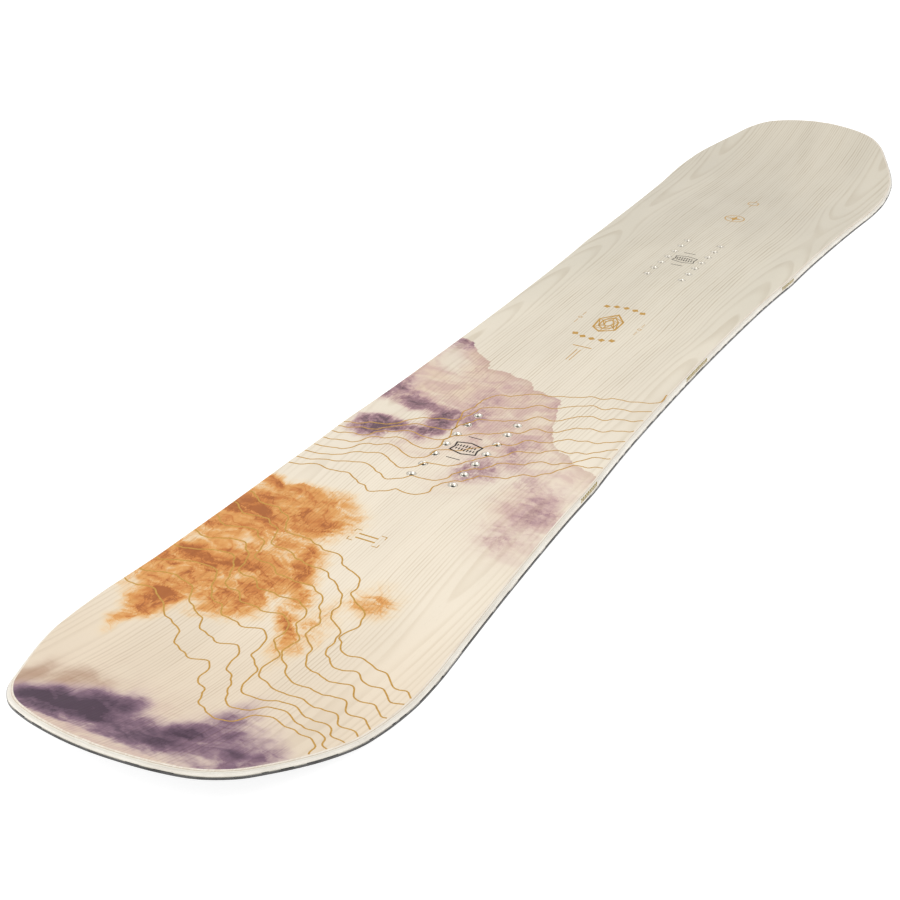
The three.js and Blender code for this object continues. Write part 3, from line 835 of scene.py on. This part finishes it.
wide = hole + COUNTERSINK

topsheet = finish_mesh("ash_topsheet", layer(RIM, VENEER_SECTION, DECK_COLUMNS), "veneer", ["topsheet"])
below_level(topsheet, below(SOFTENED), "bare_veneer")
sink = [(hole, THICK_MIDDLE - COUNTERSINK), (wide, THICK_MIDDLE), (wide, high)]
drill(topsheet, [(0, low), (hole, low), *sink, (0, high)])

laminate = layer(RIM, LAMINATE_SECTION, DECK_COLUMNS)
laminate = finish_mesh("upper_glass_laminate", laminate, "glue", ["upper_laminate"])
below_level(laminate, below(GLUE_TOP), "glass")
drill(laminate, [(0, low), (hole, low), (hole, high), (0, high)])

finish_mesh("base_sheet", layer(RIM, BASE_SECTION, DECK_COLUMNS), "base", ["base"])
for name, side in (("left", 1), ("right", -1)):
    sidewall = rim_strip(core_stations, side, SIDEWALL_SECTION)
    finish_mesh(f"abs_sidewall_{name}", sidewall, "sidewall", [f"sidewall_{name}"])
    steel_edge = rim_strip(STRIP_RIM, side, STEEL_SECTION)
    steel_edge = finish_mesh(f"ground_steel_edge_{name}", steel_edge, "edge", [f"steel_edge_{name}"])
    # The outer side of the steel edge takes the darker copy of the steel: painted shade and dark reflection.
    below_level(steel_edge, EDGE_TOP, "shaded_edge", above=EDGE_FOOT)
for name, stations in (("nose", nose_stations), ("tail", tail_stations)):
    spacer = layer(stations, SIDE_SECTION, SPACER_COLUMNS)
    finish_mesh(f"abs_{name}_spacer", spacer, "sidewall", [f"{name}_spacer"])

# ---- threaded inserts ------------
THREAD_PITCH = 1.0
THREAD_ROWS_PER_PITCH = 8
THREAD_RELIEF = 0.3  # plain bore under the last turn
MOUTH_DEPTH = 0.45
CHAMFER, TOP_CHAMFER = 0.1, 0.14


def thread_row(z):
    """One row of an M6 internal thread: the radius swings between crest and root round the turn."""

    def radius_at(angle):
        turn = (z / THREAD_PITCH - angle / (2 * math.pi)) % 1.0
        return THREAD_MINOR + (THREAD_MAJOR - THREAD_MINOR) * abs(2 * turn - 1), z

    return radius_at


def insert_mesh():
    top = INSERT_HEIGHT
    thread_top, thread_bottom = top - MOUTH_DEPTH, INSERT_FLOOR + THREAD_RELIEF
    steps = round((thread_top - thread_bottom) / THREAD_PITCH * THREAD_ROWS_PER_PITCH)
    step = (thread_top - thread_bottom) / steps
    rows = [
        (0, 0),
        (FLANGE_RADIUS - CHAMFER, 0),
        (FLANGE_RADIUS, CHAMFER),
        (FLANGE_RADIUS, FLANGE_THICKNESS - CHAMFER),
        (FLANGE_RADIUS - CHAMFER, FLANGE_THICKNESS),
        (BARREL_RADIUS + CHAMFER, FLANGE_THICKNESS),
        (BARREL_RADIUS, FLANGE_THICKNESS + CHAMFER),
        (BARREL_RADIUS, top - TOP_CHAMFER),
        (BARREL_RADIUS - TOP_CHAMFER, top),
        (MOUTH_RADIUS, top),
        *(thread_row(thread_top - k * step) for k in range(steps + 1)),
        (THREAD_MINOR - CHAMFER, INSERT_FLOOR),
        (0, INSERT_FLOOR),
    ]
    return as_mesh("threaded_insert", lathe(rows))


turned_insert = insert_mesh()
for name, place in insert_places():
    piece = place_piece(f"threaded_{name}", turned_insert, "insert")
    standing = place @ Matrix.Translation((0, 0, CORE_BOTTOM))
    standing.translation *= MM
    piece.matrix_world = standing
    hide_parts(name)

# ---- layers inside keep their CAD solids ------------
INNER_LOOKS = {"lower_laminate": "glass", "damping_strip": "rubber", "insert_mat": "mat"}
for name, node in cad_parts.items():
    look = next((look for start, look in INNER_LOOKS.items() if name.startswith(start)), None)
    if name.startswith("core_stringer"):
        look = "dark_core" if int(name.rsplit("_", 1)[1]) % 2 == 0 else "light_core"
    if look:
        node.data.materials.clear()
        node.data.materials.append(LOOKS[look])

# ---- print on the deck ------------
INK_PROUD, INK_SUNK = 0.04, 0.03  # how far printed pieces stand out of the surface and reach into it
LINE_STEP = 2.0
PRINT_MARGIN = 0.5
print_rim = np.array([rim_point(station, bevel_inner(station[0]) + PRINT_MARGIN) for station in RIM])


def deck_half_width(x):
    return float(np.interp(x, print_rim[:, 0], print_rim[:, 1], left=-1, right=-1))


def on_deck(x, y, lift):
    return (x, y, deck_height(x) + lift)


def sideways(track):
    """Unit vectors to the left of a path."""
    along = np.gradient(track, axis=0)
    along /= np.linalg.norm(along, axis=1)[:, None]
    return np.stack([-along[:, 1], along[:, 0]], 1)


def ink_line(bm, points, width):
    """A printed line of that width along points on the deck."""
    track = np.array(points, float)
    across = sideways(track) * width / 2
    rings = []
    for (x, y), (dx, dy) in zip(track, across):
        rings.append(
            [
                on_deck(x - dx, y - dy, -INK_SUNK),
                on_deck(x + dx, y + dy, -INK_SUNK),
                on_deck(x + dx, y + dy, INK_PROUD),
                on_deck(x - dx, y - dy, INK_PROUD),
            ]
        )
    loft(rings, bm)


def ink_shape(bm, points):
    """A filled printed outline."""
    loft([[on_deck(x, y, lift) for x, y in points] for lift in (-INK_SUNK, INK_PROUD)], bm)


def ink_loop(bm, points, width):
    """A closed printed line with mitred corners."""
    corners = np.array(points, float)
    before = corners - np.roll(corners, 1, 0)
    after = np.roll(corners, -1, 0) - corners
    before /= np.linalg.norm(before, axis=1)[:, None]
    after /= np.linalg.norm(after, axis=1)[:, None]
    mitre = np.stack([-(before + after)[:, 1], (before + after)[:, 0]], 1)
    mitre /= (1 + (before * after).sum(1))[:, None]
    inner, outer = corners + mitre * width / 2, corners - mitre * width / 2
    count = len(corners)
    rows = []
    for ring in (inner, outer):
        for lift in (-INK_SUNK, INK_PROUD):
            rows.append([bm.verts.new(on_deck(x, y, lift)) for x, y in ring])
    low_in, high_in, low_out, high_out = rows
    for i in range(count):
        j = (i + 1) % count
        for a, b in ((low_in, high_in), (high_in, high_out), (high_out, low_out), (low_out, low_in)):
            bm.faces.new((a[i], a[j], b[j], b[i]))


def circle(x, y, radius, sides, turn=0.0):
    angles = [turn + 2 * math.pi * k / sides for k in range(sides)]
    return [(x + radius * math.cos(a), y + radius * math.sin(a)) for a in angles]


# Contour lines: two bundles, each spread between a first and a last line with the same count of bends.
FRONT_FIRST = [
    (-372, 132), (-344, 96), (-342, 70), (-354, 40), (-350, 10),
    (-318, -8), (-294, -42), (-264, -70), (-230, -124),
]
FRONT_LAST = [
    (-274, 132), (-250, 92), (-226, 56), (-196, 32), (-150, 18),
    (-138, -16), (-122, -44), (-108, -82), (-66, -124),
]
TAIL_FIRST = [
    (-552, 140), (-560, 96), (-590, 58), (-612, 34), (-634, 0),
    (-664, -22), (-670, -50), (-654, -88), (-684, -126),
]
TAIL_LAST = [
    (-398, 134), (-412, 88), (-440, 56), (-446, 20), (-462, -18),
    (-510, -38), (-552, -58), (-566, -90), (-576, -140),
]
# Name, first line, last line and noise seed of each bundle.
BUNDLES = [("front", FRONT_FIRST, FRONT_LAST, 0.0), ("tail", TAIL_FIRST, TAIL_LAST, 9.0)]
LINES_PER_BUNDLE = 8
CONTOUR_WIDTH = 1.3
LIKENESS = 0.2  # how much of the wander changes from one line to the next
WAVES = [(46.0, 19.0), (20.0, 9.0), (8.0, 2.4)]  # length and reach of the wander to either side


def smooth_path(points):
    """Evenly spaced points along an open Catmull-Rom curve."""
    track = np.array([points[0], *points, points[-1]], float)
    track[0] += track[1] - track[2]
    track[-1] += track[-2] - track[-3]
    out = []
    for i in range(1, len(track) - 2):
        steps = math.ceil(np.linalg.norm(track[i + 1] - track[i]) / LINE_STEP)
        out += [place for place, _ in catmull_span(track, i, steps)]
    return np.array([*out, track[-2]])


def wandering(track, line, seed):
    """Moves a path to either side by smooth noise, much the same for neighbouring lines."""
    gone = np.concatenate([[0], np.cumsum(np.linalg.norm(np.diff(track, axis=0), axis=1))])
    change = line * LIKENESS
    shift = [
        sum(reach * noise.noise(Vector((at / length, change, seed + length))) for length, reach in WAVES)
        for at in gone
    ]
    return track + sideways(track) * np.array(shift)[:, None]


def trimmed(track):
    """The stretch of a path that lies on the veneer, ending right at its rim."""
    room = np.array([deck_half_width(x) - abs(y) for x, y in track])
    inside = np.flatnonzero(room > 0)
    ends = []
    for last, past in ((inside[0], inside[0] - 1), (inside[-1], inside[-1] + 1)):
        share = room[last] / (room[last] - room[past])
        ends.append(track[last] + (track[past] - track[last]) * share)
    return [ends[0], *track[inside[0] : inside[-1] + 1], ends[1]]


def contour_bundle(bm, first, last, seed):
    for k in range(LINES_PER_BUNDLE):
        share = k / (LINES_PER_BUNDLE - 1)
        bends = np.array(first) * (1 - share) + np.array(last) * share
        track = wandering(smooth_path(bends), k, seed)
        ink_line(bm, trimmed(track), CONTOUR_WIDTH)


for name, first, last, seed in BUNDLES:
    bundle = bmesh.new()
    contour_bundle(bundle, first, last, seed)
    finish_mesh(f"contour_lines_{name}", bundle, "gold")


# Plain shapes stand for the badges and notes that are printed on a board.
GEM_X = 49
GEM_OUTLINE = np.array([(-24, 1), (-16, 11), (6, 13), (24, 0), (8, -12), (-14, -12)], float)
GEM_RINGS = [(1.0, 2.0), (0.66, 1.5), (0.34, 1.5)]  # share of the outline's size, and line width
FACET_WIDTH = 1.1
BEAD_RADIUS, BEADS_OUT, BEADS_SPREAD, BEADS = 4.0, 44, 54, 5  # two arcs of beads round the gem
RULES = [(-17, -10, -17, 10, 1.6), (-52, -2, -25, -2, 0.8), (-52, 1.5, -25, 1.5, 0.8)]  # ends and width
RING_X, RING_RADIUS, STAR_REACH, STAR_WAIST = 419.5, 11.5, 9.5, 3
LOZENGE_X, LOZENGE_RADIUS = 487, 7
BRACKET_X, BRACKET_HALF, BRACKET_ARM = -421, (8, 14), (4, 5)
THIN, MEDIUM, BOLD = 0.8, 1.3, 1.6  # line widths
BADGE_HALF = [(-7, 12.5), (0, 11), (7, 12.5), (10.5, 0)]  # half of the barrel frame
BADGE_WIDTH = {"tail": 1.6, "nose": 1.0}
HATCH_ROWS, HATCH_PITCH = 7, 2.8
HATCH_REACH, HATCH_TAPER = 5.5, 0.16


def gem_badge(bm, x):
    """A plain cut gem, long way along the board: outline, girdle, table and the facets between them."""
    rings = [[(x + a, b) for a, b in GEM_OUTLINE * share] for share, _ in GEM_RINGS]
    for ring, (_, width) in zip(rings, GEM_RINGS):
        ink_loop(bm, ring, width)
    for inner, outer in zip(rings[1:], rings):
        for i, corner in enumerate(inner):
            for neighbour in (outer[i], outer[(i + 1) % len(outer)]):
                ink_line(bm, [corner, neighbour], FACET_WIDTH)


def arc_of_beads(bm, x, middle):
    """Small lozenges along an arc round the gem, whose middle lies in that direction."""
    for k in range(BEADS):
        angle = math.radians(middle + BEADS_SPREAD * (k / (BEADS - 1) - 0.5))
        place = (x + BEADS_OUT * math.cos(angle), BEADS_OUT * math.sin(angle))
        ink_shape(bm, circle(*place, BEAD_RADIUS, 4, angle))


def dashed_dot(bm, x, y, reach):
    ink_loop(bm, circle(x, y, 2.0, 6), 0.7)
    for side in (-1, 1):
        ink_line(bm, [(x + side * reach * 0.4, y), (x + side * reach, y)], 0.6)


def ringed_star(bm, x):
    """A ring round a four-point star, whose points are two-sided blades."""
    ink_loop(bm, circle(x, 0, RING_RADIUS, 40), MEDIUM)
    for turn in (0, 90, 180, 270):
        a = math.radians(turn)
        tip = (x + STAR_REACH * math.cos(a), STAR_REACH * math.sin(a))
        sides = [(x + STAR_WAIST * math.cos(a + s), STAR_WAIST * math.sin(a + s)) for s in (-0.8, 0.8)]
        ink_shape(bm, [tip, sides[1], (x, 0), sides[0]])


def corner_brackets(bm, x):
    """Four corners round two bars."""
    for sx in (-1, 1):
        for sy in (-1, 1):
            corner = (x + BRACKET_HALF[0] * sx, BRACKET_HALF[1] * sy)
            ink_line(bm, [(corner[0] - BRACKET_ARM[0] * sx, corner[1]), corner], THIN)
            ink_line(bm, [corner, (corner[0], corner[1] - BRACKET_ARM[1] * sy)], THIN)
    for bar in (-3, 3):
        ink_line(bm, [(x + bar, -9), (x + bar, 9)], BOLD)


def stance_badge(bm, x, width):
    """A barrel frame with two columns of hatching, and a rule on either side of it."""
    ink_loop(bm, [(x + turn * a, turn * b) for turn in (1, -1) for a, b in BADGE_HALF], width)
    for row in range(HATCH_ROWS):
        y = (row - HATCH_ROWS // 2) * HATCH_PITCH
        reach = HATCH_REACH - HATCH_TAPER * abs(y)
        ink_line(bm, [(x - reach, y), (x - 1, y)], MEDIUM)
        ink_line(bm, [(x + 1, y + 1), (x + reach, y + 1)], MEDIUM)
    for gap in (-20.5, 20.5):
        ink_line(bm, [(x + gap, -5), (x + gap, 8.5)], 1.0)


gold_marks = bmesh.new()
gem_badge(gold_marks, GEM_X)
for middle in (0, 180):
    arc_of_beads(gold_marks, GEM_X, middle)
for y in (32.5, -33):
    dashed_dot(gold_marks, GEM_X, y, 15)
for start_x, start_y, end_x, end_y, width in RULES:
    ink_line(gold_marks, [(start_x, start_y), (end_x, end_y)], width)
ringed_star(gold_marks, RING_X)
ink_loop(gold_marks, circle(LOZENGE_X, 0, LOZENGE_RADIUS, 6), 1.2)
for side in (-1, 1):
    ink_line(gold_marks, [(LOZENGE_X + side * 10, 0), (LOZENGE_X + side * 14, 0)], THIN)
corner_brackets(gold_marks, BRACKET_X)
finish_mesh("gold_deck_marks", gold_marks, "gold")

black_marks = bmesh.new()
for pack, side in (("tail", -1), ("nose", 1)):
    stance_badge(black_marks, side * STANCE / 2, BADGE_WIDTH[pack])
finish_mesh("stance_marks", black_marks, "black")

# ---- print on the right sidewall ------------
SIDE_PRINTS = [(-270, 17), (-6, 28), (250, 18)]  # middle and half length
STROKE_PITCH = 3.4
STROKE_WIDTH = 2.5
STROKE_LEAN = 0.9  # from one row of a stroke to the next
STROKE_BELOW, STROKE_ABOVE = 1.7, 0.8  # reach down the face and up the bevel from the shoulder
core_rim = np.array([station[:2] for station in core_stations])


def side_rows(x):
    """Rows of a print that wraps over the sidewall's shoulder, as (inset, level, outward, upward)."""
    shoulder = thickness(x) - bevel_drop(x)
    face = (BEVEL_OUTER - SIDEWALL_FOOT) / (shoulder - CORE_BOTTOM)
    start = shoulder - STROKE_BELOW
    slant = math.hypot(bevel_drop(x), bevel_inner(x) - BEVEL_OUTER)
    outward, upward = bevel_drop(x) / slant, (bevel_inner(x) - BEVEL_OUTER) / slant
    above = bevel_drop(x) - STROKE_ABOVE
    (low_in, low_up), _, (high_in, high_up) = SHOULDER
    return [
        (BEVEL_OUTER - face * STROKE_BELOW, start, 1.0, 0.0),
        (BEVEL_OUTER + low_in, shoulder + low_up, 1.0, 0.0),
        (BEVEL_OUTER + high_in, shoulder + high_up, outward, upward),
        (bevel_inset(above)(x), thickness(x) - above, outward, upward),
    ]


def on_side(x, row, lift):
    """A point at that row of the right sidewall, lifted off its surface."""
    inset, level, outward, upward = row
    y = inset - lift * outward - np.interp(x, core_rim[:, 0], core_rim[:, 1])
    return x, y, base_height(x) + level + lift * upward


side_marks = bmesh.new()
for middle, half in SIDE_PRINTS:
    for k in range(int(2 * half / STROKE_PITCH)):
        start = middle - half + k * STROKE_PITCH
        rings = []
        for i, row in enumerate(side_rows(start)):
            low_x, high_x = start + STROKE_LEAN * i, start + STROKE_LEAN * i + STROKE_WIDTH
            corners = [(low_x, -INK_SUNK), (high_x, -INK_SUNK), (high_x, INK_PROUD), (low_x, INK_PROUD)]
            rings.append([on_side(x, row, lift) for x, lift in corners])
        loft(rings, side_marks)
finish_mesh("sidewall_marks", side_marks, "dark_gold")

# ---- studio ------------
CAMERA_PLACE = (-1.3168, -0.5689, 0.6616)
CAMERA_HEADING = 28.89  # degrees from +X towards +Y
CAMERA_DOWN = 28.39
CAMERA_ROLL = 0.31
LENS, SENSOR = 62.84, 36.0
FLOOR_HALF, FLOOR_GLOW = 60.0, 0.84
WORLD_STRENGTH = 0.78
WHITE = (1, 1, 1, 1)
# Area lights as (name, place, point they look at, size, power).
LIGHTS = [
    ("key", (-2.2, 1.2, 2.6), (-0.3, 0, 0), 2.4, 36),
    ("fill", (1.2, -2.6, 2.4), (0, 0, 0), 2.0, 12),
]


def aim(target, direction, roll=0.0):
    turn = direction.to_track_quat("-Z", "Y").to_matrix().to_4x4()
    target.matrix_world = Matrix.Translation(target.location) @ turn @ Matrix.Rotation(roll, 4, "Z")


camera = add_object("camera", bpy.data.cameras.new("camera"))
bpy.context.scene.camera = camera
camera.data.lens, camera.data.sensor_width = LENS, SENSOR
camera.location = CAMERA_PLACE
heading, down = math.radians(CAMERA_HEADING), math.radians(CAMERA_DOWN)
look = Vector((math.cos(down) * math.cos(heading), math.cos(down) * math.sin(heading), -math.sin(down)))
aim(camera, look, math.radians(CAMERA_ROLL))

floor_bm = bmesh.new()
bmesh.ops.create_grid(floor_bm, x_segments=1, y_segments=1, size=FLOOR_HALF)
floor = add_object("floor", as_mesh("floor", floor_bm, unit=1.0))
floor_tree = Tree("studio_floor")
paper = floor_tree.spread(floor_tree.noise(900.0), 0.49, 0.51)
floor_material = floor_tree.finish(paper, 0.9, Emission_Color=WHITE, Emission_Strength=FLOOR_GLOW)
floor.data.materials.append(floor_material)

for name, place, towards, size, power in LIGHTS:
    light = bpy.data.lights.new(name, "AREA")
    light.shape, light.size, light.energy = "DISK", size, power
    lamp = add_object(name, light)
    lamp.location = place
    aim(lamp, Vector(towards) - Vector(place))

world = bpy.data.worlds.new("studio")
world.use_nodes = True
background = world.node_tree.nodes["Background"]
background.inputs["Color"].default_value = WHITE
background.inputs["Strength"].default_value = WORLD_STRENGTH
bpy.context.scene.world = world
bpy.context.scene.view_settings.view_transform = "Standard"
